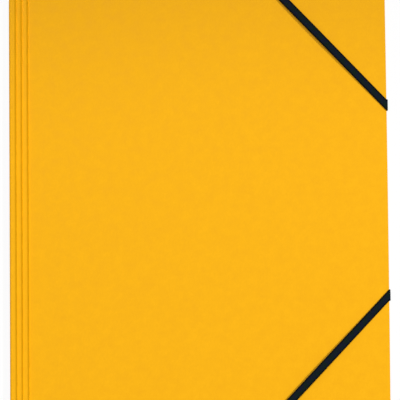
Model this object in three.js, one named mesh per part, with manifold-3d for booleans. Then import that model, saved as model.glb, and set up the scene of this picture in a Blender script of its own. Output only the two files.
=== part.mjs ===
// Document folder of coloured pressboard, A4, lying closed on its back.
// One die-cut sheet is creased and folded into the front cover, the spine, the back cover and
// three inner flaps. A flat elastic goes round each free corner: its two ends pass through slots
// in the back cover and are held inside by crimped steel tags.
// Millimetres. X runs from the spine to the fore edge, Y from the foot to the head, Z up out of
// the front cover. The origin is under the middle of the folder, on the surface it lies on.
import * as THREE from "three";
import { mergeVertices } from "three/addons/utils/BufferGeometryUtils.js";
import Module from "manifold-3d";

// Closed folder
const FOLDER_WIDTH = 240; // spine edge to fore edge
const FOLDER_HEIGHT = 320; // foot to head
const CARD = 0.5; // pressboard of about 450 g per square metre
const LAYER_GAP = 0.25; // air between layers of card that are pressed together
const CLEARANCE = 0.1; // between a piece and what it lies on

// Creases: a groove in the outer face and the bead that it raises on the inner face
const GROOVE_WIDTH = 1.1;
const GROOVE_DEPTH = 0.16;
const BEAD_HEIGHT = 0.12;
const SPINE_TO_CREASE_1 = 4.1; // from the spine edge
const CREASE_1_TO_2 = 3.5;
const CREASE_2_TO_3 = 4.4;
const FLAP_CREASE_INSET = 4.2; // from a flap's folded edge to its first crease
const FLAP_CREASE_PITCH = 4;
const FLAP_CREASES = 2;

// Inner flaps
const END_FLAP_DEPTH = 92; // head and foot flaps, from the folded edge
const SIDE_FLAP_DEPTH = 104; // fore-edge flap
const FLAP_TAPER = 14; // how far each end slants in from the fold to the free edge
const FLAP_CORNER = 12; // rounding at the free corners
const FLAP_END_GAP = 3; // from a flap's end to the fold of the next flap
const SPINE_STRIP = 16; // plain edge between the spine and the head and foot flaps
const FLAP_NOTCH = 1.2; // die-cut relief beside the start of a flap
const CORNER_CUT = 1.8; // chamfer of the back cover between two folds

// Elastics
const ELASTIC_WIDTH = 5;
const ELASTIC_THICKNESS = 0.7;
const SELVEDGE = 0.2; // rounding of the elastic's long edges
const CORNER_TO_FORE_WRAP = 99.6; // from the head or foot corner, down the fore edge
const CORNER_TO_END_WRAP = 94.7; // from the same corner, along the head or foot edge
const ANCHOR_INSET = 16; // from the folder's edge to the middle of a slot
const SLOT_PLAY = 0.3; // room round the elastic in its slot

// Crimped tags on the elastics' ends
const TAG_OVERLAP = 2.6; // how far a tag reaches past each end of its slot
const TAG_METAL = 0.3;
const TAG_HEIGHT = 1.2;

const ARC_STEPS = 6; // flats in a quarter round
const QUARTER_TURN = Math.PI / 2;
const JOIN_OVERLAP = 2; // how far two stretches of the one sheet run into each other
const CUT_MARGIN = 5; // how far a cutting outline stands clear of the sheet
const SNAP_PER_MM = 1e4; // vertices are kept to a tenth of a micron, so flush faces are flush

const X = new THREE.Vector3(1, 0, 0);
const Y = new THREE.Vector3(0, 1, 0);
const Z = new THREE.Vector3(0, 0, 1);
const minus = (axis) => axis.clone().negate();

const wasm = await Module();
wasm.setup();

// Levels of the layers, from the surface that the folder lies on
const backOuter = ELASTIC_THICKNESS + CLEARANCE;
const backInner = backOuter + CARD;
const pocket = TAG_HEIGHT + 2 * CLEARANCE;
const endFlapOuter = backInner + pocket + CARD;
const sideFlapOuter = endFlapOuter + LAYER_GAP + CARD;
const coverOuter = sideFlapOuter + LAYER_GAP + CARD;

// Outer radii of the half-round folds
const endFoldRadius = (endFlapOuter - backOuter) / 2;
const sideFoldRadius = (sideFlapOuter - backOuter) / 2;
const spineRadius = (coverOuter - backOuter) / 2;

const spineEdge = -FOLDER_WIDTH / 2;
const foreEdge = FOLDER_WIDTH / 2;
const headEdge = FOLDER_HEIGHT / 2;
const sideFoldLine = foreEdge - sideFoldRadius;
const endFoldLine = headEdge - endFoldRadius;

const spineCreases = [
  SPINE_TO_CREASE_1,
  SPINE_TO_CREASE_1 + CREASE_1_TO_2,
  SPINE_TO_CREASE_1 + CREASE_1_TO_2 + CREASE_2_TO_3,
];
const flapCreases = Array.from(
  { length: FLAP_CREASES },
  (_, i) => FLAP_CREASE_INSET + i * FLAP_CREASE_PITCH,
);

// The stretches of the sheet are closed solids, which are joined and cut

function solidOf(geometry) {
  const bare = geometry.index ? geometry.toNonIndexed() : geometry.clone();
  bare.deleteAttribute("normal");
  bare.deleteAttribute("uv");
  const place = bare.getAttribute("position").array;
  place.forEach((v, i) => (place[i] = Math.round(v * SNAP_PER_MM) / SNAP_PER_MM));
  const merged = mergeVertices(bare, 0.5 / SNAP_PER_MM);
  return new wasm.Manifold(
    new wasm.Mesh({
      numProp: 3,
      vertProperties: merged.getAttribute("position").array,
      triVerts: new Uint32Array(merged.index.array),
    }),
  );
}

function geometryOf(solid) {
  const mesh = solid.getMesh();
  const geometry = new THREE.BufferGeometry();
  const place = new Float32Array(mesh.vertProperties);
  geometry.setAttribute("position", new THREE.BufferAttribute(place, 3));
  geometry.setIndex(new THREE.BufferAttribute(new Uint32Array(mesh.triVerts), 1));
  return geometry.toNonIndexed();
}

// An outline drawn on two of three square axes and extruded along the third, `from` on it
function extruded(outline, from, length, right, up, along) {
  const geometry = new THREE.ExtrudeGeometry(outline, {
    depth: length,
    bevelEnabled: false,
    curveSegments: ARC_STEPS,
  });
  const turn = new THREE.Matrix4().makeBasis(right, up, along);
  turn.setPosition(along.clone().multiplyScalar(from));
  return geometry.applyMatrix4(turn);
}

// The shallow arc of a crease in a face at height z, towards the inner side of the folder.
// `step` is 1 where the outline runs towards +a and -1 where it runs back.
function addCrease(outline, a, z, depth, step) {
  const half = GROOVE_WIDTH / 2;
  const radius = (half * half + depth * depth) / (2 * depth);
  const spread = Math.asin(half / radius);
  const from = -QUARTER_TURN - step * spread;
  const to = -QUARTER_TURN + step * spread;
  outline.absarc(a, z - depth + radius, radius, from, to, step < 0);
}

// Section across a fold of the sheet. The sheet comes along the back cover towards the folded
// edge at a = 0, turns over in a half round, and runs back on top to a = reach. Creases are
// given as distances from the folded edge.
function foldSection(topOuter, reach, creases) {
  const radius = (topOuter - backOuter) / 2;
  const middle = backOuter + radius;
  const section = new THREE.Shape();
  section.moveTo(radius + JOIN_OVERLAP, backOuter);
  section.lineTo(radius + JOIN_OVERLAP, backInner);
  section.lineTo(radius, backInner);
  section.absarc(radius, middle, radius - CARD, -QUARTER_TURN, QUARTER_TURN, true);
  for (const crease of creases) {
    addCrease(section, crease, topOuter - CARD, BEAD_HEIGHT, 1);
  }
  section.lineTo(reach, topOuter - CARD);
  section.lineTo(reach, topOuter);
  for (const crease of [...creases].reverse()) {
    addCrease(section, crease, topOuter, GROOVE_DEPTH, -1);
  }
  section.lineTo(radius, topOuter);
  section.absarc(radius, middle, radius, QUARTER_TURN, -QUARTER_TURN, false);
  section.closePath();
  return section;
}

// Front cover and spine, with the first strip of the back cover
function coverAndSpine() {
  const section = foldSection(coverOuter, FOLDER_WIDTH, spineCreases);
  const geometry = extruded(section, -headEdge, FOLDER_HEIGHT, X, Z, minus(Y));
  return solidOf(geometry.translate(spineEdge, 0, 0));
}

// A flap's outline: t along the fold, a inwards from the folded edge
function flapOutline(length, depth) {
  const corner = Math.min(FLAP_CORNER, depth / 2);
  const lean = FLAP_TAPER / depth;
  const outline = new THREE.Shape();
  outline.moveTo(0, -CUT_MARGIN);
  outline.lineTo(length, -CUT_MARGIN);
  outline.lineTo(length, 0);
  outline.lineTo(length - lean * (depth - corner), depth - corner);
  outline.quadraticCurveTo(length - FLAP_TAPER, depth, length - FLAP_TAPER - corner, depth);
  outline.lineTo(FLAP_TAPER + corner, depth);
  outline.quadraticCurveTo(FLAP_TAPER, depth, lean * (depth - corner), depth - corner);
  outline.lineTo(0, 0);
  outline.closePath();
  return outline;
}

// One flap with its fold. It starts at a point of the folder's edge, and `inwards` is the way
// from that edge to the middle of the folder.
function flap(topOuter, depth, length, start, inwards) {
  const along = new THREE.Vector3().crossVectors(inwards, Z);
  const section = foldSection(topOuter, depth, flapCreases);
  const folded = solidOf(extruded(section, 0, length, inwards, Z, along));
  const cutHeight = topOuter + 2 * CUT_MARGIN;
  const outline = flapOutline(length, depth);
  const cut = solidOf(extruded(outline, -CUT_MARGIN, cutHeight, along, inwards, Z));
  return folded.intersect(cut).translate(start.toArray());
}

// A slot in the back cover for one end of an elastic: a slit with round ends
function slotPath({ slot, across }) {
  const reach = ELASTIC_WIDTH / 2 + SLOT_PLAY;
  const turn = Math.atan2(across.y, across.x);
  const path = new THREE.Path();
  for (const side of [1, -1]) {
    const centre = slot.clone().addScaledVector(across, side * reach);
    const from = turn - side * QUARTER_TURN;
    path.absarc(centre.x, centre.y, slotWidth / 2, from, from + 2 * QUARTER_TURN, false);
  }
  path.closePath();
  return path;
}

// The back cover between the spine and the folds, with a slot for each end of each elastic
function backCover(anchors) {
  const nearSpine = spineEdge + spineRadius;
  const notch = spineEdge + SPINE_STRIP - FLAP_NOTCH;
  const outline = new THREE.Shape();
  outline.moveTo(nearSpine, -headEdge);
  outline.lineTo(notch, -headEdge);
  outline.lineTo(notch, -endFoldLine);
  outline.lineTo(sideFoldLine - CORNER_CUT, -endFoldLine);
  outline.lineTo(sideFoldLine, CORNER_CUT - endFoldLine);
  outline.lineTo(sideFoldLine, endFoldLine - CORNER_CUT);
  outline.lineTo(sideFoldLine - CORNER_CUT, endFoldLine);
  outline.lineTo(notch, endFoldLine);
  outline.lineTo(notch, headEdge);
  outline.lineTo(nearSpine, headEdge);
  outline.closePath();
  anchors.forEach((anchor) => outline.holes.push(slotPath(anchor)));
  return solidOf(extruded(outline, backOuter, CARD, X, Y, Z));
}

// The whole sheet, folded
function foldedSheet(anchors) {
  const endStart = spineEdge + SPINE_STRIP;
  const endLength = sideFoldLine - FLAP_END_GAP - endStart;
  const sideLength = 2 * (endFoldLine - FLAP_END_GAP);
  const headStart = new THREE.Vector3(endStart + endLength, headEdge, 0);
  const footStart = new THREE.Vector3(endStart, -headEdge, 0);
  const sideStart = new THREE.Vector3(foreEdge, -sideLength / 2, 0);
  return coverAndSpine()
    .add(backCover(anchors))
    .add(flap(endFlapOuter, END_FLAP_DEPTH, endLength, headStart, minus(Y)))
    .add(flap(endFlapOuter, END_FLAP_DEPTH, endLength, footStart, Y))
    .add(flap(sideFlapOuter, SIDE_FLAP_DEPTH, sideLength, sideStart, minus(X)));
}

// The elastics. Each is a flat strip, stretched diagonally over the front cover, straight over
// the head and the fore edge, and on at the mirrored angle over the back cover to its slots.

const halfElastic = ELASTIC_THICKNESS / 2;
const overCard = CLEARANCE + halfElastic; // from a face of the card to the strip's middle plane
const turnRadius = 2 * CLEARANCE + halfElastic; // over a cut edge, clear of its corner
const turnInset = CLEARANCE; // from the card's edge in to the middle of that turn
const slotWidth = ELASTIC_THICKNESS + CLEARANCE + SLOT_PLAY;
const slotSeat = overCard - slotWidth / 2; // from a slot's middle to the strip's, along the strip
const stripTop = backInner + TAG_HEIGHT - TAG_METAL;

// The strip's own section, across w and through h, with h pointing away from the folder
const stripSection = (() => {
  const w = ELASTIC_WIDTH / 2;
  const h = halfElastic;
  return [
    [-w + SELVEDGE, -h],
    [w - SELVEDGE, -h],
    [w, -h + SELVEDGE],
    [w, h - SELVEDGE],
    [w - SELVEDGE, h],
    [-w + SELVEDGE, h],
    [-w, h - SELVEDGE],
    [-w, -h + SELVEDGE],
  ];
})();

// Where the strip's middle line meets the two edges, on the front cover
const foreCross = new THREE.Vector2(foreEdge - turnInset, headEdge - CORNER_TO_FORE_WRAP);
const headCross = new THREE.Vector2(foreEdge - CORNER_TO_END_WRAP, headEdge - turnInset);
const stripAlong = headCross.clone().sub(foreCross).normalize();
const stripAcross = new THREE.Vector2(stripAlong.y, -stripAlong.x);

const arcSteps = Array.from({ length: ARC_STEPS + 1 }, (_, i) => (i / ARC_STEPS) * QUARTER_TURN);

// One end of the strip, from where it leaves the front cover to the slot where it goes in.
// `axis` is the way out over the edge, and `side` the way along it.
class StripEnd {
  constructor(cross, ahead, axis, side, edge, foldRadius) {
    Object.assign(this, { cross, axis, side, edge, foldRadius });
    this.rung = stripAcross[side] - (ahead[side] * stripAcross[axis]) / ahead[axis];
    this.along = ahead.clone();
    this.along[axis] *= -1;
    this.across = stripAcross.clone();
    this.across[axis] *= -1;
    const onBack = ANCHOR_INSET - foldRadius;
    this.slot = new THREE.Vector2();
    this.slot[axis] = edge - ANCHOR_INSET;
    this.slot[side] = cross[side] + (ahead[side] / ahead[axis]) * onBack;
  }

  // A section that crosses the strip parallel to the edge. For each height over the strip's
  // middle plane, `out` gives how far past the edge it lies and `level` its height.
  sectionOverEdge(out, level) {
    return stripSection.map(([w, h]) => {
      const point = new THREE.Vector3(0, 0, level(h));
      point[this.axis] = this.edge + out(h);
      point[this.side] = this.cross[this.side] + w * this.rung;
      return point;
    });
  }

  // A quarter round outwards and down, about a centre `inset` from the edge and at height z
  quarterRound(inset, z, radius, start) {
    return arcSteps.map((turned) => {
      const angle = start - turned;
      return this.sectionOverEdge(
        (h) => (radius + h) * Math.cos(angle) - inset,
        (h) => (radius + h) * Math.sin(angle) + z,
      );
    });
  }

  // Over the cover's cut edge, down past the layers, and round the fold to the back cover
  overEdge() {
    const foldMiddle = backOuter + this.foldRadius;
    return [
      ...this.quarterRound(turnInset, coverOuter - turnInset, turnRadius, QUARTER_TURN),
      ...this.quarterRound(this.foldRadius, foldMiddle, this.foldRadius + overCard, 0),
    ];
  }

  // A section square to the strip on the back cover, s past the start of its turn into the
  // slot, at height z, with the strip turned up by an angle
  squareSection(s, z, turned) {
    const start = slotSeat - turnRadius;
    return stripSection.map(([w, h]) => {
      const flat = this.slot
        .clone()
        .addScaledVector(this.along, start + s + h * Math.sin(turned))
        .addScaledVector(this.across, w);
      return new THREE.Vector3(flat.x, flat.y, z - h * Math.cos(turned));
    });
  }

  // Up through the slot in the back cover and into the tag
  intoSlot() {
    const level = backOuter - overCard;
    const bend = arcSteps.map((turned) => {
      const rise = turnRadius * (1 - Math.cos(turned));
      return this.squareSection(turnRadius * Math.sin(turned), level + rise, turned);
    });
    return [...bend, this.squareSection(turnRadius, stripTop, QUARTER_TURN)];
  }

  sections() {
    return [...this.overEdge(), ...this.intoSlot()];
  }
}

const headEnd = new StripEnd(headCross, stripAlong, "y", "x", headEdge, endFoldRadius);
const foreEnd = new StripEnd(
  foreCross,
  stripAlong.clone().negate(),
  "x",
  "y",
  foreEdge,
  sideFoldRadius,
);

// A closed skin over a row of sections that all have the same number of points
function loft(sections) {
  const place = [];
  const add = (...points) => points.forEach((v) => place.push(v.x, v.y, v.z));
  const first = sections[0];
  const last = sections[sections.length - 1];
  for (let i = 0; i + 1 < sections.length; i += 1) {
    first.forEach((_, j) => {
      const next = (j + 1) % first.length;
      const [a, b] = [sections[i][j], sections[i][next]];
      const [c, d] = [sections[i + 1][next], sections[i + 1][j]];
      add(a, c, b, a, d, c);
    });
  }
  for (let j = 1; j + 1 < first.length; j += 1) {
    add(first[0], first[j], first[j + 1]);
    add(last[0], last[j + 1], last[j]);
  }
  const geometry = new THREE.BufferGeometry();
  geometry.setAttribute("position", new THREE.Float32BufferAttribute(place, 3));
  return geometry;
}

// The elastic at the head corner, from its slot near the fore edge to its slot near the head
function elasticGeometry() {
  return loft([...foreEnd.sections().reverse(), ...headEnd.sections()]);
}

// A tag: a strip of steel folded over the elastic's end and crimped, longer than the slot
function tagGeometry({ slot, along }) {
  const grip = overCard;
  const half = grip + TAG_METAL;
  const shoulder = TAG_HEIGHT - TAG_METAL;
  const section = new THREE.Shape();
  section.moveTo(-half, 0);
  section.lineTo(-grip, 0);
  section.lineTo(-grip, shoulder);
  section.lineTo(grip, shoulder);
  section.lineTo(grip, 0);
  section.lineTo(half, 0);
  section.absarc(grip, shoulder, TAG_METAL, 0, QUARTER_TURN, false);
  section.absarc(-grip, shoulder, TAG_METAL, QUARTER_TURN, 2 * QUARTER_TURN, false);
  section.closePath();
  const right = new THREE.Vector3(along.x, along.y, 0);
  const across = new THREE.Vector3().crossVectors(right, Z);
  const length = ELASTIC_WIDTH + 2 * SLOT_PLAY + slotWidth + 2 * TAG_OVERLAP;
  const middle = slot.clone().addScaledVector(along, slotSeat);
  const geometry = extruded(section, -length / 2, length, right, Z, across);
  return geometry.translate(middle.x, middle.y, backInner + CLEARANCE);
}

// The same geometry at the foot corner. The mirror turns it inside out, so its triangles are
// turned round again.
function atFoot(geometry) {
  const mirrored = geometry.index ? geometry.toNonIndexed() : geometry.clone();
  mirrored.scale(1, -1, 1);
  const place = mirrored.getAttribute("position");
  const [b, c] = [new THREE.Vector3(), new THREE.Vector3()];
  for (let i = 0; i < place.count; i += 3) {
    b.fromBufferAttribute(place, i + 1);
    c.fromBufferAttribute(place, i + 2);
    place.setXYZ(i + 1, c.x, c.y, c.z);
    place.setXYZ(i + 2, b.x, b.y, b.z);
  }
  return mirrored;
}

const anchorAtFoot = ({ slot, across }) => ({
  slot: new THREE.Vector2(slot.x, -slot.y),
  across: new THREE.Vector2(across.x, -across.y),
});

const pressboard = { color: 0xfbb61a, roughness: 0.5, metalness: 0 };
const blackElastic = { color: 0x15171c, roughness: 0.85, metalness: 0 };
const nickelPlatedSteel = { color: 0xb9bcc0, roughness: 0.35, metalness: 1 };

const folder = new THREE.Group();

function addPiece(name, geometry, finish) {
  geometry.computeVertexNormals();
  const mesh = new THREE.Mesh(geometry, new THREE.MeshStandardMaterial(finish));
  mesh.name = name;
  folder.add(mesh);
}

const ends = { end: headEnd, fore: foreEnd };
const anchors = Object.values(ends).flatMap((end) => [end, anchorAtFoot(end)]);
addPiece("folded_card_sheet", geometryOf(foldedSheet(anchors)), pressboard);

const elastic = elasticGeometry();
addPiece("head_corner_elastic", elastic, blackElastic);
addPiece("foot_corner_elastic", atFoot(elastic), blackElastic);

for (const [place, end] of Object.entries(ends)) {
  const tag = tagGeometry(end);
  addPiece(`head_elastic_${place}_tag`, tag, nickelPlatedSteel);
  addPiece(`foot_elastic_${place}_tag`, atFoot(tag), nickelPlatedSteel);
}

// The elastics stand proud of the fore edge and not of the spine, so the folder is set over by
// half of that to keep the origin in the middle
folder.position.x = -(ELASTIC_THICKNESS + CLEARANCE) / 2;

export default folder;
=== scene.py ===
"""Looks of a closed A4 pressboard folder with two flat corner elastics, lying on its back.

The folder is one creased sheet. It is drawn here as the flat die-cut blank and then folded over
its spine and its three flaps, so its folds, creases and cut edges are those of a real sheet.
Each elastic is a woven strip that is laid along its own path round the folder. Lengths are in
metres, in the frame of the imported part: +X to the fore edge, +Y to the head, +Z up.
"""

from __future__ import annotations

import logging
import math
from collections.abc import Iterable
from dataclasses import dataclass, field
from enum import Enum
from typing import ClassVar

import bmesh
import bpy
from mathutils import Matrix, Vector

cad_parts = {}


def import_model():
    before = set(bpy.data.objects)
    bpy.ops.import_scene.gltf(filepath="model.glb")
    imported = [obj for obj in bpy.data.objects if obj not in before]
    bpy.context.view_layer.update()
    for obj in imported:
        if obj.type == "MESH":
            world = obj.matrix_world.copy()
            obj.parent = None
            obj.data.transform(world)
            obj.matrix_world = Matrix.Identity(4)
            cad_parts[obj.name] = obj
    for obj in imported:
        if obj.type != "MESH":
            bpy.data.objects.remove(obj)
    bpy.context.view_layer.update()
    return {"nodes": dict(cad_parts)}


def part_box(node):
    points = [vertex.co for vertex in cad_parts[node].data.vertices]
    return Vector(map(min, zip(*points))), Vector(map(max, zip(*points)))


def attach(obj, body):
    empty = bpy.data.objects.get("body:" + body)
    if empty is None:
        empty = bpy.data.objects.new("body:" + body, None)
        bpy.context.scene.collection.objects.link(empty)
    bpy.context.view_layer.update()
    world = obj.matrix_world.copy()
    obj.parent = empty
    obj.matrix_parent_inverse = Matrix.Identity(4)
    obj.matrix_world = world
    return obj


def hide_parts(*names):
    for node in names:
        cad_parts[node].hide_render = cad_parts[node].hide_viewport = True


LOG = logging.getLogger("folder")
MM = 0.001
HALF_TURN = math.pi
QUARTER_TURN = math.pi / 2
WAVE_TURN = 20  # radians by which a wave texture turns in one of its units
CUT_TOLERANCE = 1e-7  # a vertex this near a cut lies on it
WELD = 0.01 * MM  # panel vertices this near each other are one
SEAM_WELD = 0.001 * MM  # the same along a strip's seam


class Node(Enum):
    """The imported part's nodes."""

    SHEET = "folded_card_sheet"
    HEAD_ELASTIC = "head_corner_elastic"
    FOOT_ELASTIC = "foot_corner_elastic"
    HEAD_END_TAG = "head_elastic_end_tag"
    HEAD_FORE_TAG = "head_elastic_fore_tag"
    FOOT_END_TAG = "foot_elastic_end_tag"
    FOOT_FORE_TAG = "foot_elastic_fore_tag"


class Corner(Enum):
    """The free corner that an elastic goes round: the value is the sign of its Y."""

    HEAD = 1
    FOOT = -1


# Colours and nodes


def linear(hex_colour: str) -> tuple[float, float, float, float]:
    """Turn an sRGB hex colour into linear RGBA.

    Args:
        hex_colour: Six hex digits, with or without a leading #.

    Returns:
        Linear red, green and blue, with alpha 1.
    """
    digits = hex_colour.lstrip("#")
    values = [int(digits[i : i + 2], 16) / 255 for i in (0, 2, 4)]
    turned = [v / 12.92 if v <= 0.04045 else ((v + 0.055) / 1.055) ** 2.4 for v in values]
    return (*turned, 1.0)


def add_node(
    tree: bpy.types.NodeTree,
    kind: str,
    settings: dict[str | int, object],
    links: dict[str | int, bpy.types.NodeSocket],
) -> bpy.types.Node:
    """Add a node with its settings and links.

    Args:
        tree: The node tree.
        kind: The node's type name.
        settings: Attributes by name, and input values by socket name or number.
        links: Output sockets by the name or number of the input that each one feeds.

    Returns:
        The new node.
    """
    node = tree.nodes.new(kind)
    for name, value in settings.items():
        if isinstance(name, str) and hasattr(node, name):
            setattr(node, name, value)
        else:
            node.inputs[name].default_value = value
    for name, output in links.items():
        tree.links.new(output, node.inputs[name])
    return node


def colour_ramp(
    tree: bpy.types.NodeTree, factor: bpy.types.NodeSocket, stops: Iterable[tuple[float, str]]
) -> bpy.types.NodeSocket:
    """Turn a factor into colours.

    Args:
        tree: The node tree.
        factor: The output that drives the ramp.
        stops: Positions from 0 to 1 with their sRGB hex colours.

    Returns:
        The ramp's colour output.
    """
    ramp = add_node(tree, "ShaderNodeValToRGB", {}, {"Fac": factor})
    elements = ramp.color_ramp.elements
    for i, (position, hex_colour) in enumerate(stops):
        element = elements[i] if i < 2 else elements.new(position)
        element.position = position
        element.color = linear(hex_colour)
    return ramp.outputs["Color"]


def new_material(name: str) -> tuple[bpy.types.Material, bpy.types.NodeTree]:
    """Make a material with a bare output.

    Args:
        name: The material's name.

    Returns:
        The material and its node tree.
    """
    material = bpy.data.materials.new(name)
    material.use_nodes = True
    material.node_tree.nodes.clear()
    return material, material.node_tree


def finish_material(tree: bpy.types.NodeTree, shader: bpy.types.Node) -> None:
    """Link a shader to a new material output.

    Args:
        tree: The material's node tree.
        shader: The shader node.
    """
    add_node(tree, "ShaderNodeOutputMaterial", {}, {"Surface": shader.outputs[0]})


def principled(
    tree: bpy.types.NodeTree,
    settings: dict[str | int, object],
    links: dict[str | int, bpy.types.NodeSocket],
) -> None:
    """Finish a material with a principled surface.

    Args:
        tree: The material's node tree.
        settings: The surface's constant values by socket name.
        links: Output sockets by the name of the input that each one feeds.
    """
    finish_material(tree, add_node(tree, "ShaderNodeBsdfPrincipled", settings, links))


def object_place(tree: bpy.types.NodeTree) -> bpy.types.NodeSocket:
    """Give the place on an object, in the object's own coordinates.

    Args:
        tree: The material's node tree.

    Returns:
        The output that holds the place.
    """
    return add_node(tree, "ShaderNodeTexCoord", {}, {}).outputs["Object"]


def noise(
    tree: bpy.types.NodeTree,
    place: bpy.types.NodeSocket,
    grain_mm: float,
    detail: float = 2.0,
    roughness: float = 0.5,
) -> bpy.types.NodeSocket:
    """Vary smoothly and at random over a surface.

    Args:
        tree: The node tree.
        place: The output that holds the place on the surface.
        grain_mm: Size of the variation.
        detail: How many finer variations lie over it.
        roughness: How strong the finer ones are.

    Returns:
        A factor that lies about 0.5.
    """
    settings = {"Scale": 1 / (grain_mm * MM), "Detail": detail, "Roughness": roughness}
    return add_node(tree, "ShaderNodeTexNoise", settings, {"Vector": place}).outputs["Fac"]


def mix(
    tree: bpy.types.NodeTree,
    first: bpy.types.NodeSocket,
    second: bpy.types.NodeSocket,
    share: float,
) -> bpy.types.NodeSocket:
    """Mix two factors.

    Args:
        tree: The node tree.
        first: The first factor.
        second: The second factor.
        share: The second one's share.

    Returns:
        The mixed factor.
    """
    settings = {"data_type": "FLOAT", "Factor": share}
    return add_node(tree, "ShaderNodeMix", settings, {2: first, 3: second}).outputs[0]


def relief(
    tree: bpy.types.NodeTree, height: bpy.types.NodeSocket, height_mm: float, strength: float
) -> bpy.types.NodeSocket:
    """Raise fine relief on a surface.

    Args:
        tree: The node tree.
        height: The factor that is the relief's height.
        height_mm: The height for a factor of 1.
        strength: How much of the relief shows.

    Returns:
        The surface's normal.
    """
    settings = {"Strength": strength, "Distance": height_mm * MM}
    return add_node(tree, "ShaderNodeBump", settings, {"Height": height}).outputs[0]


def seen_directly(tree: bpy.types.NodeTree) -> bpy.types.NodeSocket:
    """Tell the rays that show a surface, to the camera or in metal or glass, from its light.

    Args:
        tree: The node tree.

    Returns:
        1 for such a ray, and 0 for any other.
    """
    path = add_node(tree, "ShaderNodeLightPath", {}, {}).outputs
    mirrored = add_node(
        tree,
        "ShaderNodeMath",
        {"operation": "ADD"},
        {0: path["Is Glossy Ray"], 1: path["Is Transmission Ray"]},
    )
    both = add_node(
        tree,
        "ShaderNodeMath",
        {"operation": "ADD", "use_clamp": True},
        {0: path["Is Camera Ray"], 1: mirrored.outputs[0]},
    )
    return both.outputs[0]


# Finishes


@dataclass(frozen=True)
class CalenderedPressboard:
    """Dyed pressboard, pressed smooth between rollers: an even colour with a faint cloudiness
    where the pulp lies thicker, fine fibres that run along the sheet, and a soft satin shine."""

    name: str = "calendered pressboard"
    colour: str = "#FAB406"
    thin_pulp: str = "#F7B007"
    thick_pulp: str = "#FEB80A"
    pulp_range: tuple[float, float] = (0.32, 0.68)
    cloud_mm: float = 6.0
    cloud_detail: float = 4.0
    cloud_roughness: float = 0.6
    fibre_mm: float = 1.1
    fibre_stretch: float = 1.8
    fibre_detail: float = 3.0
    fibre_roughness: float = 0.65
    fibre_share: float = 0.45
    fibre_height_mm: float = 0.012
    grit_mm: float = 0.35
    grit_share: float = 0.4
    relief_strength: float = 0.6
    roughness: float = 0.46
    shine_range: tuple[float, float] = (0.3, 0.7)
    more_shine: float = 0.05
    less_shine: float = 0.06
    specular: float = 0.1

    def make(self) -> bpy.types.Material:
        """Build the material.

        Returns:
            The pressboard material.
        """
        material, tree = new_material(self.name)
        place = object_place(tree)
        clouds = noise(tree, place, self.cloud_mm, self.cloud_detail, self.cloud_roughness)
        along = add_node(
            tree,
            "ShaderNodeMapping",
            {"Scale": (1.0, 1 / self.fibre_stretch, 1.0)},
            {"Vector": place},
        ).outputs[0]
        fibres = noise(tree, along, self.fibre_mm, self.fibre_detail, self.fibre_roughness)
        grit = noise(tree, place, self.grit_mm)
        thin, thick = self.pulp_range
        colour = colour_ramp(
            tree,
            mix(tree, clouds, fibres, self.fibre_share),
            [(thin, self.thin_pulp), (thick, self.thick_pulp), (0.5, self.colour)],
        )
        height = mix(tree, fibres, grit, self.grit_share)
        shine = add_node(
            tree,
            "ShaderNodeMapRange",
            {
                "From Min": self.shine_range[0],
                "From Max": self.shine_range[1],
                "To Min": self.roughness - self.more_shine,
                "To Max": self.roughness + self.less_shine,
            },
            {"Value": clouds},
        )
        principled(
            tree,
            {"Specular IOR Level": self.specular, "IOR": 1.5},
            {
                "Base Color": colour,
                "Roughness": shine.outputs[0],
                "Normal": relief(tree, height, self.fibre_height_mm, self.relief_strength),
            },
        )
        return material


@dataclass(frozen=True)
class DieCutEdge:
    """The edge that the cutting die leaves on pressboard: open, layered fibre, a little deeper in
    colour than the faces and with no shine."""

    name: str = "die-cut pressboard edge"
    dark_ply: str = "#E19A10"
    light_ply: str = "#F4AF1D"
    ply_range: tuple[float, float] = (0.35, 0.65)
    ply_mm: float = 0.09
    ply_detail: float = 3.0
    tear_mm: float = 1.6
    relief_mm: float = 0.03
    relief_strength: float = 0.7
    roughness: float = 0.85
    specular: float = 0.15

    def make(self) -> bpy.types.Material:
        """Build the material.

        Returns:
            The cut-edge material.
        """
        material, tree = new_material(self.name)
        flat = self.ply_mm / self.tear_mm
        layers = add_node(
            tree,
            "ShaderNodeMapping",
            {"Scale": (flat, flat, 1.0)},
            {"Vector": object_place(tree)},
        )
        plies = noise(tree, layers.outputs[0], self.ply_mm, self.ply_detail)
        dark, light = self.ply_range
        colour = colour_ramp(tree, plies, [(dark, self.dark_ply), (light, self.light_ply)])
        principled(
            tree,
            {"Roughness": self.roughness, "Specular IOR Level": self.specular},
            {
                "Base Color": colour,
                "Normal": relief(tree, plies, self.relief_mm, self.relief_strength),
            },
        )
        return material


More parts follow.
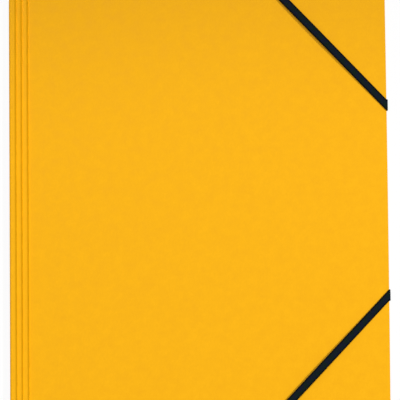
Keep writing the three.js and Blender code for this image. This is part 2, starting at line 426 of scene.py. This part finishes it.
@dataclass(frozen=True)
class WovenElastic:
    """Flat woven elastic in black polyester over rubber cores: close cross threads that catch the
    light in rows, in lots that lean to blue and to green, and long edges painted near-black as
    shade."""

    name: str = "black woven elastic"
    ground: str = "#06080C"
    blue_thread: str = "#192136"
    green_thread: str = "#162821"
    # painted shade: near-black colour for the strip's long edges, where its rounded edges turn
    # from the light
    painted_edge_shade: str = "#050506"
    painted_edge_shade_mm: tuple[float, float] = (1.2, 2.2)
    lot_mm: float = 3.5
    lot_range: tuple[float, float] = (0.4, 0.6)
    thread_mm: float = 0.42
    fuzz_mm: float = 0.25
    fuzz_detail: float = 3.0
    fuzz_share: float = 0.35
    relief_mm: float = 0.05
    relief_strength: float = 0.8
    roughness: float = 0.72
    specular: float = 0.04

    def make(self) -> bpy.types.Material:
        """Build the material. Its UV map holds the way across and along the strip in metres.

        Returns:
            The elastic's material.
        """
        material, tree = new_material(self.name)
        strip = add_node(tree, "ShaderNodeUVMap", {"uv_map": CornerElastic.UV_NAME}, {}).outputs[0]
        rows = add_node(
            tree,
            "ShaderNodeTexWave",
            {
                "wave_type": "BANDS",
                "bands_direction": "Y",
                "wave_profile": "SIN",
                "Scale": 2 * HALF_TURN / (WAVE_TURN * self.thread_mm * MM),
                "Distortion": 1.2,
                "Detail": 1.0,
                "Detail Scale": 1.5,
            },
            {"Vector": strip},
        )
        fuzz = noise(tree, strip, self.fuzz_mm, self.fuzz_detail)
        height = mix(tree, rows.outputs["Fac"], fuzz, self.fuzz_share)
        green, blue = self.lot_range
        thread = colour_ramp(
            tree,
            noise(tree, strip, self.lot_mm),
            [(green, self.green_thread), (blue, self.blue_thread)],
        )
        woven = add_node(
            tree,
            "ShaderNodeMix",
            {"data_type": "RGBA", 6: linear(self.ground)},
            {0: height, 7: thread},
        )
        principled(
            tree,
            {"Roughness": self.roughness, "Specular IOR Level": self.specular},
            {
                "Base Color": self.with_painted_edge_shade(tree, strip, woven.outputs[2]),
                "Normal": relief(tree, height, self.relief_mm, self.relief_strength),
            },
        )
        return material

    def with_painted_edge_shade(
        self,
        tree: bpy.types.NodeTree,
        strip: bpy.types.NodeSocket,
        woven: bpy.types.NodeSocket,
    ) -> bpy.types.NodeSocket:
        """Paint shade on the strip's two long edges, where its rounded edges turn from the light.

        Args:
            tree: The material's node tree.
            strip: The place across and along the strip.
            woven: The colour between the two edges with painted shade.

        Returns:
            The strip's whole colour.
        """
        # painted shade: the colour darkens to near-black towards both long edges, standing in for
        # their shading
        across = add_node(tree, "ShaderNodeSeparateXYZ", {}, {0: strip}).outputs[0]
        off = add_node(tree, "ShaderNodeMath", {"operation": "ABSOLUTE"}, {0: across})
        edge = add_node(
            tree,
            "ShaderNodeMapRange",
            {"From Min": self.painted_edge_shade_mm[0] * MM, "From Max": self.painted_edge_shade_mm[1] * MM},
            {"Value": off.outputs[0]},
        )
        edge_shaded = add_node(
            tree,
            "ShaderNodeMix",
            {"data_type": "RGBA", 7: linear(self.painted_edge_shade)},
            {0: edge.outputs[0], 6: woven},
        )
        return edge_shaded.outputs[2]


@dataclass(frozen=True)
class NickelPlatedSteel:
    """Thin strip steel with a bright nickel coat: a warm grey mirror, dulled by fine grain from
    the rolling mill."""

    name: str = "nickel-plated strip steel"
    colour: str = "#C9C4B8"
    shadow: str = "#AAA598"
    shade_range: tuple[float, float] = (0.3, 0.7)
    grain_mm: float = 0.15
    relief_mm: float = 0.01
    relief_strength: float = 0.3
    roughness: float = 0.28

    def make(self) -> bpy.types.Material:
        """Build the material.

        Returns:
            The steel's material.
        """
        material, tree = new_material(self.name)
        grain = noise(tree, object_place(tree), self.grain_mm)
        dark, light = self.shade_range
        colour = colour_ramp(tree, grain, [(dark, self.shadow), (light, self.colour)])
        principled(
            tree,
            {"Metallic": 1.0, "Roughness": self.roughness},
            {
                "Base Color": colour,
                "Normal": relief(tree, grain, self.relief_mm, self.relief_strength),
            },
        )
        return material


@dataclass(frozen=True)
class WhiteSweep:
    """A matt white studio floor, lit through from below: where it is seen, most of its white is
    its own, and the rest keeps the folder's shadow."""

    name: str = "white studio floor"
    colour: str = "#FFFFFF"
    glow: float = 0.92
    roughness: float = 0.5

    def make(self) -> bpy.types.Material:
        """Build the material.

        Returns:
            The floor's material.
        """
        material, tree = new_material(self.name)
        matt = add_node(
            tree,
            "ShaderNodeBsdfDiffuse",
            {"Color": linear(self.colour), "Roughness": self.roughness},
            {},
        )
        white = add_node(tree, "ShaderNodeEmission", {"Color": linear(self.colour)}, {})
        share = add_node(
            tree, "ShaderNodeMapRange", {"To Max": self.glow}, {"Value": seen_directly(tree)}
        )
        shader = add_node(
            tree,
            "ShaderNodeMixShader",
            {},
            {0: share.outputs[0], 1: matt.outputs[0], 2: white.outputs[0]},
        )
        finish_material(tree, shader)
        return material


# Mesh helpers


def new_piece(
    name: str, bm: bmesh.types.BMesh, materials: list[bpy.types.Material]
) -> bpy.types.Object:
    """Turn a bmesh into an object at the origin.

    Args:
        name: The piece's name.
        bm: The finished bmesh, which is freed.
        materials: The materials for its slots.

    Returns:
        The new object.
    """
    mesh = bpy.data.meshes.new(name)
    bm.to_mesh(mesh)
    bm.free()
    for material in materials:
        mesh.materials.append(material)
    piece = bpy.data.objects.new(name, mesh)
    bpy.context.scene.collection.objects.link(piece)
    return piece


def settle_modifiers(piece: bpy.types.Object) -> None:
    """Bake a piece's modifiers into its mesh.

    Args:
        piece: The piece.
    """
    graph = bpy.context.evaluated_depsgraph_get()
    baked = bpy.data.meshes.new_from_object(piece.evaluated_get(graph))
    piece.modifiers.clear()
    piece.data = baked


# The folded sheet


@dataclass(frozen=True)
class Fold:
    """A fold of the sheet's middle plane, which turns it over onto itself. Its corner radius is
    the whole radius in a half-round fold, and less in one that is pressed square."""

    line: float
    radius: float
    corner: float

    @property
    def flat(self) -> float:
        """Length from the fold's line to its first corner, and half that of its wall."""
        return self.radius - self.corner

    @property
    def length(self) -> float:
        """Length of sheet that the fold takes up."""
        return HALF_TURN * self.corner + 4 * self.flat

    def place(self, past: float) -> tuple[float, float]:
        """Say where a point goes that lies past the fold's line on the flat blank.

        Args:
            past: Distance past the fold's line on the blank.

        Returns:
            The distance past the line and the height, once folded.
        """
        half = self.length / 2
        if past > half:
            out, rise = self.place(2 * half - past) if past < 2 * half else (2 * half - past, 0.0)
            return out, 2 * self.radius - rise
        if past < self.flat:
            return past, 0.0
        angle = min((past - self.flat) / self.corner, QUARTER_TURN)
        wall = past - self.flat - angle * self.corner
        out = self.flat + self.corner * math.sin(angle)
        return out, self.corner * (1 - math.cos(angle)) + wall


@dataclass
class FoldedSheet:
    """The one sheet: back cover, spine, front cover and three inner flaps."""

    low: Vector
    high: Vector
    card: float = 0.5 * MM
    layer_gap: float = 0.25 * MM
    crease_height: float = 0.62 * MM
    crease_reach: float = 1.6 * MM
    crease_drop: float = 0.3 * MM
    crease_cuts: int = 7
    drop_cuts: int = 4
    fore_bow: float = 0.4 * MM
    spine_creases: tuple[float, ...] = (4.6 * MM, 8.3 * MM, 12.25 * MM)
    flap_creases: tuple[float, ...] = (4.2 * MM, 8.2 * MM)
    end_flap_depth: float = 92 * MM
    side_flap_depth: float = 104 * MM
    flap_taper: float = 14 * MM
    flap_corner: float = 12 * MM
    flap_end_gap: float = 3 * MM
    spine_strip: float = 16 * MM
    flap_notch: float = 1.2 * MM
    corner_cut: float = 1.8 * MM
    spine_corner: float = 0.8 * MM
    fold_cuts: int = 22
    grid: float = 8 * MM
    corner_steps: int = 8
    edge_round: float = 0.09 * MM
    edge_segments: int = 2
    sharp_degrees: float = 50
    spine: Fold = field(init=False)
    fore: Fold = field(init=False)
    head: Fold = field(init=False)

    def __post_init__(self) -> None:
        """Work out the folds from the sheet's box and its layers."""
        half = self.card / 2
        step = self.layer_gap + self.card
        heights = [self.high.z - self.low.z - i * step for i in range(3)]
        outer = [h / 2 for h in heights]
        self.spine = Fold(self.low.x + outer[0], outer[0] - half, self.spine_corner)
        self.fore = Fold(self.high.x - outer[1], outer[1] - half, outer[1] - half)
        self.head = Fold(self.high.y - outer[2], outer[2] - half, outer[2] - half)

    def outer_radius(self, fold: Fold) -> float:
        """Radius of a fold's outer face."""
        return fold.radius + self.card / 2

    def on_top(self, fold: Fold, inset: float) -> float:
        """Say how far past a fold's line a point of the top layer lies on the blank.

        Args:
            fold: The fold.
            inset: Distance of the point in from the folded edge.

        Returns:
            The distance past the line on the blank.
        """
        return fold.length + inset - self.outer_radius(fold)

    def flap_outline(self, fold: Fold, start: float, end: float, depth: float) -> list[Vector]:
        """Draw a flap on the blank, from its fold's line to its free edge.

        Args:
            fold: The flap's fold.
            start: Where the flap starts along the fold.
            end: Where it ends.
            depth: Distance from the folded edge to the free edge.

        Returns:
            The outline's points: along the fold, and past its line.
        """
        corner = self.flap_corner
        lean = self.flap_taper / depth
        free = self.on_top(fold, depth)
        shoulder = free - corner
        crest = fold.length / 2
        slant = lean * (depth - corner)

        def rounded(side: float, way: int) -> list[Vector]:
            """Round a free corner of the flap.

            Args:
                side: Where the flap's side starts along the fold.
                way: 1 where the side leans forwards along the fold, and -1 where it leans back.

            Returns:
                The corner's points, from the side to the free edge.
            """
            first = Vector((side + way * slant, shoulder))
            control = Vector((side + way * self.flap_taper, free))
            last = Vector((side + way * (self.flap_taper + corner), free))
            points = []
            for i in range(self.corner_steps + 1):
                t = i / self.corner_steps
                points.append(first.lerp(control, t).lerp(control.lerp(last, t), t))
            return points

        left = [Vector((start, 0)), Vector((start, crest)), *rounded(start, 1)]
        right = [Vector((end, 0)), Vector((end, crest)), *rounded(end, -1)]
        return right + left[::-1]

    def blank_panels(self) -> list[list[Vector]]:
        """Draw the blank as panels that share their fold lines.

        Returns:
            The outline of each panel, with the back cover where it lies in the frame.
        """
        half = self.high.y
        notch = self.low.x + self.spine_strip - self.flap_notch
        start = self.low.x + self.spine_strip
        end = self.fore.line - self.flap_end_gap
        side = self.head.line - self.flap_end_gap
        cut = self.corner_cut
        cover = self.spine.line - self.on_top(self.spine, self.high.x - self.low.x)
        x, y = self.fore.line, self.head.line
        covers = [(cover, -half), (notch, -half), (notch, half), (cover, half)]
        back = [
            (notch, -y),
            (x - cut, -y),
            (x, cut - y),
            (x, y - cut),
            (x - cut, y),
            (notch, y),
        ]
        ends = self.flap_outline(self.head, start, end, self.end_flap_depth)
        sides = self.flap_outline(self.fore, -side, side, self.side_flap_depth)
        return [
            [Vector(p) for p in covers],
            [Vector(p) for p in back],
            [Vector((p.x, y + p.y)) for p in ends],
            [Vector((p.x, -y - p.y)) for p in reversed(ends)],
            [Vector((x + p.y, p.x)) for p in reversed(sides)],
        ]

    def fold_stops(self, fold: Fold, creases: Iterable[float]) -> list[float]:
        """List the distances past a fold's line where the blank needs a cut for its shape.

        Args:
            fold: The fold.
            creases: The creases' distances from the folded edge.

        Returns:
            The distances past the fold's line.
        """
        stops = [i * fold.length / self.fold_cuts for i in range(self.fold_cuts + 1)]
        for crease in creases:
            crest = self.on_top(fold, crease)
            for i in range(self.crease_cuts):
                stops.append(crest - (1 - i / self.crease_cuts) * self.crease_reach)
            for i in range(self.drop_cuts + 1):
                stops.append(crest + i / self.drop_cuts * self.crease_drop)
        return stops

    def cuts(self) -> tuple[list[float], list[float]]:
        """List the straight cuts that divide the blank, across and along it.

        Returns:
            The cuts' X and Y on the blank.
        """
        wide = [self.fore.line + s for s in self.fold_stops(self.fore, self.flap_creases)]
        wide += [self.spine.line - s for s in self.fold_stops(self.spine, self.spine_creases)]
        wide += [
            self.low.x + self.spine_strip - self.flap_notch,
            self.low.x + self.spine_strip,
            self.fore.line - self.flap_end_gap,
            self.fore.line - self.corner_cut,
        ]
        tall = [self.head.line + s for s in self.fold_stops(self.head, self.flap_creases)]
        tall += [self.head.line - self.flap_end_gap, self.head.line - self.corner_cut]
        tall += [-y for y in tall]
        reach = self.high.x - self.low.x + self.side_flap_depth
        return self.with_grid(wide, reach), self.with_grid(tall, reach)

    def with_grid(self, stops: list[float], reach: float) -> list[float]:
        """Add an even grid to a list of cuts, wherever none is near.

        Args:
            stops: The cuts that the shape needs.
            reach: How far the grid goes to either side of the middle.

        Returns:
            All the cuts, in order.
        """
        count = int(reach / self.grid)
        even = [i * self.grid for i in range(-count, count + 1)]
        clear = [g for g in even if min(abs(g - s) for s in stops) > self.grid / 3]
        return sorted(stops + clear)

    def folded(self, flat: Vector) -> Vector:
        """Fold a point of the blank's middle plane.

        Args:
            flat: The point on the blank.

        Returns:
            Its place in the folded sheet.
        """
        x, y, rise = flat.x, flat.y, 0.0
        back_cover = self.low.x + self.spine_strip - self.flap_notch / 2
        if x < self.spine.line:
            past = self.spine.line - x
            out, rise = self.spine.place(past)
            rise += self.crease(self.spine, past, self.spine_creases)
            x = self.spine.line - out
        elif x > self.fore.line:
            past = x - self.fore.line
            out, rise = self.fore.place(past)
            rise -= self.crease(self.fore, past, self.flap_creases)
            x = self.fore.line + out
        elif abs(y) > self.head.line and x > back_cover:
            past = abs(y) - self.head.line
            out, rise = self.head.place(past)
            rise -= self.crease(self.head, past, self.flap_creases)
            y = math.copysign(self.head.line + out, y)
        reach = (x - self.low.x) / (self.high.x - self.low.x)
        bow = self.fore_bow * (reach * y / self.high.y) ** 2
        return Vector((x - bow, y, self.low.z + self.card / 2 + rise))

    def crease(self, fold: Fold, past: float, creases: Iterable[float]) -> float:
        """Say how far a crease lifts the sheet at a point: a slow rise from the fold's side to
        the crest, and a quick drop behind it.

        Args:
            fold: The fold that the creases lie beside.
            past: Distance past the fold's line on the blank.
            creases: The creases' distances from the folded edge.

        Returns:
            The height of the crease at that point.
        """
        for crease in creases:
            off = past - self.on_top(fold, crease)
            if -self.crease_reach < off <= 0:
                return self.crease_height * (1 + off / self.crease_reach) ** 2
            if 0 < off < self.crease_drop:
                return self.crease_height * math.cos(off / self.crease_drop * QUARTER_TURN) ** 2
        return 0.0

    def build(self, face: bpy.types.Material, edge: bpy.types.Material) -> bpy.types.Object:
        """Cut the blank, fold it and give it its thickness.

        Args:
            face: The material of the sheet's faces.
            edge: The material of its cut edges.

        Returns:
            The folded sheet.
        """
        bm = bmesh.new()
        for outline in self.blank_panels():
            bm.faces.new([bm.verts.new((p.x, p.y, 0)) for p in outline])
        for axis, stops in zip((Vector((1, 0, 0)), Vector((0, 1, 0))), self.cuts()):
            for stop in stops:
                everything = bm.verts[:] + bm.edges[:] + bm.faces[:]
                bmesh.ops.bisect_plane(
                    bm, geom=everything, dist=CUT_TOLERANCE, plane_co=axis * stop, plane_no=axis
                )
        bmesh.ops.remove_doubles(bm, verts=bm.verts, dist=WELD)
        for vert in bm.verts:
            vert.co = self.folded(vert.co)
        for polygon in bm.faces:
            polygon.smooth = True
        piece = new_piece("card_sheet", bm, [face, edge])
        wall = piece.modifiers.new("card thickness", "SOLIDIFY")
        wall.thickness = self.card
        wall.offset = 0
        wall.use_even_offset = True
        wall.material_offset_rim = 1
        return piece

    def round_edges(self, piece: bpy.types.Object) -> None:
        """Round the die-cut edges.

        Args:
            piece: The folded sheet.
        """
        bevel = piece.modifiers.new("die-cut edge", "BEVEL")
        bevel.affect = "EDGES"
        bevel.width = self.edge_round
        bevel.segments = self.edge_segments
        bevel.profile = 0.5
        bevel.limit_method = "ANGLE"
        bevel.angle_limit = math.radians(self.sharp_degrees)
        bevel.harden_normals = True
        bevel.material = -1


# The elastics


@dataclass(frozen=True)
class Station:
    """A place along an elastic: its middle, and which way its width and its thickness lie."""

    middle: Vector
    across: Vector
    through: Vector

    def point(self, w: float, h: float) -> Vector:
        """Say where the strip's point at w across and h through lies."""
        return self.middle + self.across * w + self.through * h

    def towards(self, other: Station, share: float) -> Station:
        """Find the station part of the way to another one, along straight threads.

        Args:
            other: The other station.
            share: The part of the way, from 0 to 1.

        Returns:
            The station between them.
        """
        return Station(
            self.middle.lerp(other.middle, share),
            self.across.lerp(other.across, share),
            self.through.lerp(other.through, share),
        )


@dataclass
class CornerElastic:
    """A flat elastic: slot, back cover, edge, front cover, edge, back cover and slot again."""

    UV_NAME: ClassVar[str] = "strip"

    corner: Corner
    sheet: FoldedSheet
    width: float = 5.0 * MM
    thickness: float = 0.7 * MM
    clearance: float = 0.1 * MM
    ribs: int = 7
    rib_depth: float = 0.07 * MM
    rib_steps: int = 4
    edge_steps: int = 4
    bend_steps: int = 8
    pace: float = 2.0 * MM
    fore_wrap: float = 99.6 * MM
    end_wrap: float = 94.7 * MM
    anchor_inset: float = 16 * MM
    slot_play: float = 0.3 * MM
    arch: float = 1.0 * MM
    tag_height: float = 1.2 * MM
    tag_metal: float = 0.3 * MM

    @property
    def over_card(self) -> float:
        """Distance from a face of the card to the strip's middle plane."""
        return self.clearance + self.thickness / 2

    @property
    def turn_radius(self) -> float:
        """Radius of the strip's middle plane over a cut edge."""
        return 2 * self.clearance + self.thickness / 2

    @property
    def slot_width(self) -> float:
        """Width of the slot that the strip goes through."""
        return self.thickness + self.clearance + self.slot_play

    def section(self) -> list[tuple[float, float]]:
        """Draw the strip's cross-section, with a low rib over each rubber core.

        Returns:
            Points across and through the strip, once round.
        """
        round_off = self.thickness / 2
        flat = self.width / 2 - round_off
        steps = self.ribs * self.rib_steps
        top = []
        for i in range(steps + 1):
            share = i / steps
            swell = abs(math.sin(share * self.ribs * HALF_TURN))
            height = self.thickness / 2 - self.rib_depth * (1 - swell)
            top.append((flat * (2 * share - 1), height))
        side = []
        for i in range(1, self.edge_steps):
            angle = QUARTER_TURN - i / self.edge_steps * HALF_TURN
            reach = round_off - self.rib_depth * abs(math.sin(angle))
            side.append((flat + round_off * math.cos(angle), reach * math.sin(angle)))
        half = top + side
        return half + [(-w, -h) for w, h in half]

    def end_stations(self, axis: int) -> list[Station]:
        """Follow one end of the strip from the front cover to its tag.

        Args:
            axis: 0 for the end that goes over the fore edge, 1 for the head or foot edge.

        Returns:
            The stations, from the front cover outwards.
        """
        side = 1 - axis
        sheet = self.sheet
        edges = (sheet.high.x, sheet.high.y)
        edge = edges[axis]
        inset = self.clearance
        fore = Vector((edges[0] - inset, edges[1] - self.fore_wrap))
        end = Vector((edges[0] - self.end_wrap, edges[1] - inset))
        along = (end - fore).normalized()
        across = Vector((along.y, -along.x))
        cross, ahead = (end, along) if axis else (fore, -along)
        rung = across[side] - ahead[side] * across[axis] / ahead[axis]
        fold = sheet.head if axis else sheet.fore
        outer = sheet.outer_radius(fold)

        def quarter(out: float, height: float, radius: float, start: float) -> list[Station]:
            """Bend the strip through a quarter turn.

            Args:
                out: How far the bend's axis lies out from the sheet's edge.
                height: The height of the bend's axis.
                radius: Radius of the strip's middle plane.
                start: Angle at which the bend starts, from straight out.

            Returns:
                The bend's stations, from its start downwards.
            """
            stations = []
            for i in range(self.bend_steps + 1):
                angle = start - i / self.bend_steps * QUARTER_TURN
                middle, wide, thick = Vector(), Vector(), Vector()
                middle[axis] = edge + out + radius * math.cos(angle)
                middle[side] = cross[side]
                middle.z = height + radius * math.sin(angle)
                wide[side] = rung
                thick[axis] = math.cos(angle)
                thick.z = math.sin(angle)
                stations.append(Station(middle, wide, thick))
            return stations

        over = quarter(-inset, sheet.high.z - inset, self.turn_radius, QUARTER_TURN)
        under = quarter(-outer, sheet.low.z + outer, outer + self.over_card, 0)
        return over + under + self.slot_stations(axis, cross, ahead, across, edge - outer)

    def slot_stations(
        self, axis: int, cross: Vector, ahead: Vector, across: Vector, start: float
    ) -> list[Station]:
        """Turn the strip up through its slot and into its tag.

        Args:
            axis: The way over the edge, 0 or 1.
            cross: Where the strip meets the edge on the front cover.
            ahead: Its direction over that edge.
            across: Its width direction on the front cover.
            start: Where it reaches the flat back cover, along the axis.

        Returns:
            The stations, from the back cover to the strip's end.
        """
        side = 1 - axis
        edge = (self.sheet.high.x, self.sheet.high.y)[axis]
        back_along, back_across = ahead.copy(), across.copy()
        back_along[axis] *= -1
        back_across[axis] *= -1
        slot = Vector((0, 0))
        slot[axis] = edge - self.anchor_inset
        slot[side] = cross[side] + ahead[side] / ahead[axis] * (start - slot[axis])
        seat = self.over_card - self.slot_width / 2
        level = self.sheet.low.z - self.over_card
        along, wide = back_along.to_3d(), back_across.to_3d()
        first = slot.to_3d() + along * (seat - self.turn_radius)
        up = Vector((0, 0, 1))
        stations = []
        for i in range(self.bend_steps + 1):
            angle = i / self.bend_steps * QUARTER_TURN
            middle = first + along * (self.turn_radius * math.sin(angle))
            middle.z = level + self.turn_radius * (1 - math.cos(angle))
            through = along * math.sin(angle) - up * math.cos(angle)
            stations.append(Station(middle, wide, through))
        last = stations[-1]
        top = self.sheet.low.z + self.sheet.card + self.tag_height - self.tag_metal
        stations.append(Station(Vector((last.middle.x, last.middle.y, top)), wide, along))
        return stations

    def stations(self) -> list[Station]:
        """Follow the whole strip from its fore slot to its end slot.

        Returns:
            Stations no further apart than the strip's pace.
        """
        fore, end = self.end_stations(0)[::-1], self.end_stations(1)
        way = fore + end
        closer = [way[0]]
        for last, following in zip(way, way[1:]):
            count = max(1, round((following.middle - last.middle).length / self.pace))
            for i in range(1, count + 1):
                station = last.towards(following, i / count)
                if last is fore[-1]:
                    station.middle.z += self.arch * math.sin(i / count * HALF_TURN) ** 2
                closer.append(station)
        return closer

    def build(self, finish: bpy.types.Material) -> bpy.types.Object:
        """Weave the strip along its stations.

        Args:
            finish: The elastic's material.

        Returns:
            The elastic.
        """
        ring = self.section()
        way = self.stations()
        reach = [0.0]
        for last, following in zip(way, way[1:]):
            reach.append(reach[-1] + (following.middle - last.middle).length)
        bm = bmesh.new()
        strip = bm.loops.layers.uv.new(self.UV_NAME)
        bmesh.ops.create_grid(
            bm, x_segments=len(ring), y_segments=len(way) - 1, size=0.5, calc_uvs=True
        )
        place = {}
        for vert in bm.verts:
            i = round((vert.co.x + 0.5) * len(ring))
            j = round((vert.co.y + 0.5) * (len(way) - 1))
            place[vert] = (i, j)
        for polygon in bm.faces:
            polygon.smooth = True
            for loop in polygon.loops:
                i, j = place[loop.vert]
                loop[strip].uv = (ring[i % len(ring)][0], reach[j])
        for vert, (i, j) in place.items():
            w, h = ring[i % len(ring)]
            vert.co = way[j].point(w, h)
            vert.co.y *= self.corner.value
        bmesh.ops.remove_doubles(bm, verts=bm.verts, dist=SEAM_WELD)
        bmesh.ops.holes_fill(bm, edges=bm.edges, sides=len(ring) + 1)
        bmesh.ops.recalc_face_normals(bm, faces=bm.faces)
        return new_piece(f"{self.corner.name.lower()}_woven_elastic", bm, [finish])

    def slot_cutter(self, bm: bmesh.types.BMesh) -> None:
        """Add the two slots of this elastic to a cutting mesh.

        Args:
            bm: The cutting mesh.
        """
        for axis in (0, 1):
            station = self.end_stations(axis)[-1]
            shift = self.over_card - self.slot_width / 2
            middle = station.middle - station.through * shift
            middle.z = self.sheet.low.z + self.sheet.card / 2
            made = bmesh.ops.create_cube(bm, size=1.0)["verts"]
            long = self.width + 2 * self.slot_play + self.slot_width
            up = Vector((0, 0, 3 * self.sheet.card))
            for vert in made:
                x, y, z = vert.co
                vert.co = (
                    middle + station.across * (x * long) + station.through * (y * self.slot_width)
                ) + up * z
                vert.co.y *= self.corner.value


# The studio


@dataclass(frozen=True)
class Softbox:
    """A round soft lamp: where it hangs, what it looks at and how wide its light spreads."""

    name: str
    place: tuple[float, float, float]
    target: tuple[float, float, float]
    watts: float
    radius: float
    cone_degrees: float
    blend: float

    def hang(self) -> None:
        """Put the lamp into the scene."""
        data = bpy.data.lights.new(self.name, "SPOT")
        data.energy = self.watts
        data.shadow_soft_size = self.radius
        data.spot_size = math.radians(self.cone_degrees)
        data.spot_blend = self.blend
        lamp = bpy.data.objects.new(self.name, data)
        away = Vector(self.place) - Vector(self.target)
        turn = away.to_track_quat("Z", "Y").to_matrix().to_4x4()
        lamp.matrix_world = Matrix.Translation(self.place) @ turn
        bpy.context.scene.collection.objects.link(lamp)


@dataclass
class Studio:
    """A white floor and background, soft light from all round, a wide fill from above, and a
    soft key that hangs beyond the fore edge and fades towards the folder's head."""

    floor_half: float = 3.0
    world_strength: float = 0.32
    key: Softbox = Softbox(
        name="key",
        place=(3.6, 0.75, 3.14),
        target=(-0.04, -0.235, 0.0),
        watts=614.0,
        radius=0.14,
        cone_degrees=11.0,
        blend=0.4,
    )
    fill_strength: float = 0.84
    fill_degrees: float = 24.0
    fill_away: tuple[float, float, float] = (-0.3, 0.6, 1.9)

    def build(self) -> None:
        """Set up the floor, the world and the lamps."""
        bm = bmesh.new()
        bmesh.ops.create_grid(bm, x_segments=1, y_segments=1, size=self.floor_half)
        new_piece("studio_floor", bm, [WhiteSweep().make()])
        self.surround()
        self.key.hang()
        data = bpy.data.lights.new("fill", "SUN")
        data.energy = self.fill_strength
        data.angle = math.radians(self.fill_degrees)
        lamp = bpy.data.objects.new("fill", data)
        lamp.matrix_world = Vector(self.fill_away).to_track_quat("Z", "Y").to_matrix().to_4x4()
        bpy.context.scene.collection.objects.link(lamp)

    def surround(self) -> None:
        """Light the scene evenly from all round, and show plain white behind it."""
        world = bpy.data.worlds.new("studio")
        world.use_nodes = True
        tree = world.node_tree
        tree.nodes.clear()
        strength = add_node(
            tree,
            "ShaderNodeMapRange",
            {"To Min": self.world_strength, "To Max": 1.0},
            {"Value": seen_directly(tree)},
        )
        shown = add_node(
            tree,
            "ShaderNodeBackground",
            {"Color": linear("#FFFFFF")},
            {"Strength": strength.outputs[0]},
        )
        add_node(tree, "ShaderNodeOutputWorld", {}, {"Surface": shown.outputs[0]})
        bpy.context.scene.world = world


@dataclass
class OverheadCamera:
    """The camera over the front cover, a little towards the foot."""

    target: Vector
    distance: float = 1.5
    tilt_degrees: float = 3.95
    roll_degrees: float = 0.52
    lens: float = 212.3

    def build(self) -> None:
        """Place the camera and make it the scene's."""
        data = bpy.data.cameras.new("overhead")
        data.lens = self.lens
        camera = bpy.data.objects.new("overhead", data)
        tilt = Matrix.Rotation(math.radians(self.tilt_degrees), 4, "X")
        roll = Matrix.Rotation(math.radians(-self.roll_degrees), 4, "Z")
        back = Matrix.Translation((0, 0, self.distance))
        camera.matrix_world = Matrix.Translation(self.target) @ tilt @ back @ roll
        bpy.context.scene.collection.objects.link(camera)
        bpy.context.scene.camera = camera


@dataclass
class ElasticFolder:
    """The whole folder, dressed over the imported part."""

    nodes: dict[str, bpy.types.Object]
    body: str = "root"

    def build(self) -> None:
        """Build the sheet and the elastics, and give the tags their finish."""
        low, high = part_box(Node.SHEET.value)
        sheet = FoldedSheet(Vector(low), Vector(high))
        card = sheet.build(CalenderedPressboard().make(), DieCutEdge().make())
        elastics = {
            Node.HEAD_ELASTIC: CornerElastic(Corner.HEAD, sheet),
            Node.FOOT_ELASTIC: CornerElastic(Corner.FOOT, sheet),
        }
        self.cut_slots(card, elastics.values())
        sheet.round_edges(card)
        self.hand_over(card, Node.SHEET)
        woven = WovenElastic().make()
        for node, elastic in elastics.items():
            self.hand_over(elastic.build(woven), node)
        steel = NickelPlatedSteel().make()
        tags = (Node.HEAD_END_TAG, Node.HEAD_FORE_TAG, Node.FOOT_END_TAG, Node.FOOT_FORE_TAG)
        for tag in tags:
            self.dress(tag, steel)

    def cut_slots(self, card: bpy.types.Object, elastics: Iterable[CornerElastic]) -> None:
        """Cut the elastics' slots through the back cover.

        Args:
            card: The folded sheet.
            elastics: The elastics that go through it.
        """
        bm = bmesh.new()
        for elastic in elastics:
            elastic.slot_cutter(bm)
        bmesh.ops.recalc_face_normals(bm, faces=bm.faces)
        cutter = new_piece("slot_cutter", bm, [card.data.materials[1]])
        cut = card.modifiers.new("slots", "BOOLEAN")
        cut.operation = "DIFFERENCE"
        cut.solver = "EXACT"
        cut.object = cutter
        settle_modifiers(card)
        bpy.data.objects.remove(cutter)

    def hand_over(self, piece: bpy.types.Object, node: Node) -> None:
        """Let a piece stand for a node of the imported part.

        Args:
            piece: The new piece.
            node: The node that it replaces.
        """
        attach(piece, self.body)
        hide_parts(node.value)
        LOG.info("%s stands for %s", piece.name, node.value)

    def dress(self, node: Node, material: bpy.types.Material) -> None:
        """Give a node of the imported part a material.

        Args:
            node: The node.
            material: Its material.
        """
        shown = self.nodes[node.value]
        shown.data.materials.clear()
        shown.data.materials.append(material)
        LOG.info("%s is dressed in %s", node.value, material.name)


def main() -> None:
    """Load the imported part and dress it."""
    logging.basicConfig(level=logging.INFO, format="%(name)s: %(message)s")
    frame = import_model()
    bpy.context.scene.view_settings.view_transform = "Standard"
    OverheadCamera(Vector((0.45 * MM, 1.25 * MM, 0))).build()
    Studio().build()
    ElasticFolder(frame["nodes"]).build()


if __name__ == "__main__":
    main()
